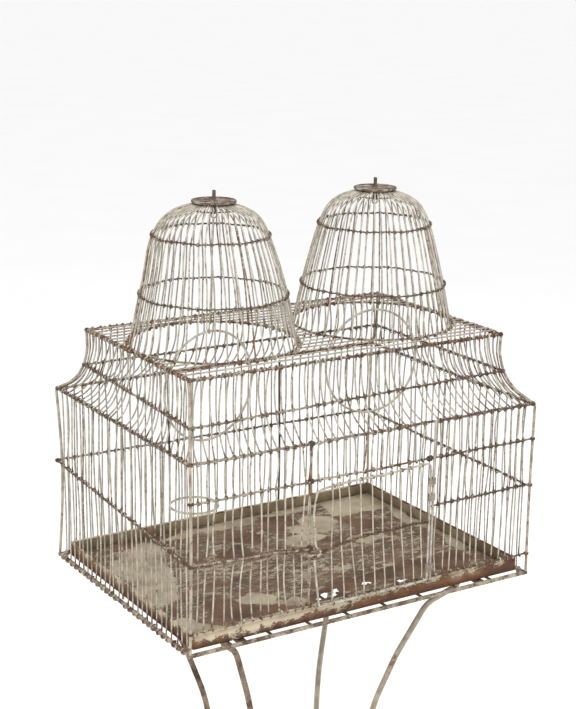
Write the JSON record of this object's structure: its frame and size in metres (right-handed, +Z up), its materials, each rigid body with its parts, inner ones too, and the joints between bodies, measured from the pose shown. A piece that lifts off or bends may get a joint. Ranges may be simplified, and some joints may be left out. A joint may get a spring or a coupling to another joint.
{
  "type": "bird cage on stand",
  "caption": "Rectangular wire bird cage with coved shoulders, bell domes over hanging ring swings, a hinged front door and a slide-out tray, on a waisted iron leg stand.",
  "frame": {"origin": "on the floor, under the middle of the whole object's footprint", "axes": "+X to the right along the cage, +Y from the door towards the back, +Z up"},
  "size_m": [0.5709, 0.4209, 1.329],
  "materials": {
    "wire_paint": "old chipped grey-cream paint over rust",
    "rusty_rail": "worn paint with brown rust",
    "dark_iron": "dark bare iron",
    "stand_paint": "old chipped grey-cream paint over rust",
    "tray_paint": "peeling khaki-cream paint over brown rust"
  },
  "bodies": {
    "cage": {"leg_front_left": "stand_paint", "leg_front_right": "stand_paint", "leg_back_left": "stand_paint", "leg_back_right": "stand_paint", "foot_pads": "stand_paint", "leg_sockets": "dark_iron", "leg_hoop": "stand_paint", "hoop_rivets": "dark_iron", "floor_straps": "dark_iron", "bottom_rails": "rusty_rail", "floor_rods": "rusty_rail", "sill_rail": "rusty_rail", "lintel_rail": "rusty_rail", "middle_rails": "rusty_rail", "waist_rails": "rusty_rail", "cove_rails": "rusty_rail", "top_rails": "rusty_rail", "corner_posts": "wire_paint", "end_posts": "wire_paint", "back_posts": "dark_iron", "latch_posts": "rusty_rail", "hinge_post": "wire_paint", "front_bars_left": "wire_paint", "front_bars_right": "wire_paint", "bars_above_door": "wire_paint", "back_bars": "wire_paint", "left_bars": "wire_paint", "right_bars": "wire_paint", "deck_wires": "wire_paint", "cup_ring": "wire_paint", "left_dome_ring": "rusty_rail", "left_dome_bars": "wire_paint", "left_dome_low_hoop": "rusty_rail", "left_dome_high_hoop": "rusty_rail", "left_dome_inner_hoop": "dark_iron", "left_dome_disc": "dark_iron", "left_finial_eye": "dark_iron", "right_dome_ring": "rusty_rail", "right_dome_bars": "wire_paint", "right_dome_low_hoop": "rusty_rail", "right_dome_high_hoop": "rusty_rail", "right_dome_inner_hoop": "dark_iron", "right_dome_disc": "dark_iron", "right_finial_eye": "dark_iron"},
    "door": {"door_frame": "rusty_rail", "door_bars": "wire_paint", "door_mid_rail": "rusty_rail", "door_hinge_coils": "wire_paint", "door_catch": "wire_paint"},
    "tray": {"tray": "tray_paint"},
    "left_swing": {"left_swing_hanger": "rusty_rail", "left_swing_hoop": "wire_paint"},
    "right_swing": {"right_swing_hanger": "rusty_rail", "right_swing_hoop": "wire_paint"}
  },
  "joints": [
    {"name": "door_hinge", "type": "hinge", "parent": "cage", "child": "door", "pos_m": [0.101, -0.2048, 0.872], "axis": [0, 0, 1], "range_deg": [0, 110]},
    {"name": "tray_slide", "type": "slide", "parent": "cage", "child": "tray", "axis": [0, -1, 0], "range_m": [0, 0.36]},
    {"name": "left_swing_hang", "type": "hinge", "parent": "cage", "child": "left_swing", "pos_m": [-0.136, -0.004, 1.2993], "axis": [1, 0, 0], "range_deg": [-20, 20]},
    {"name": "right_swing_hang", "type": "hinge", "parent": "cage", "child": "right_swing", "pos_m": [0.13, -0.004, 1.2993], "axis": [1, 0, 0], "range_deg": [-20, 20]}
  ]
}
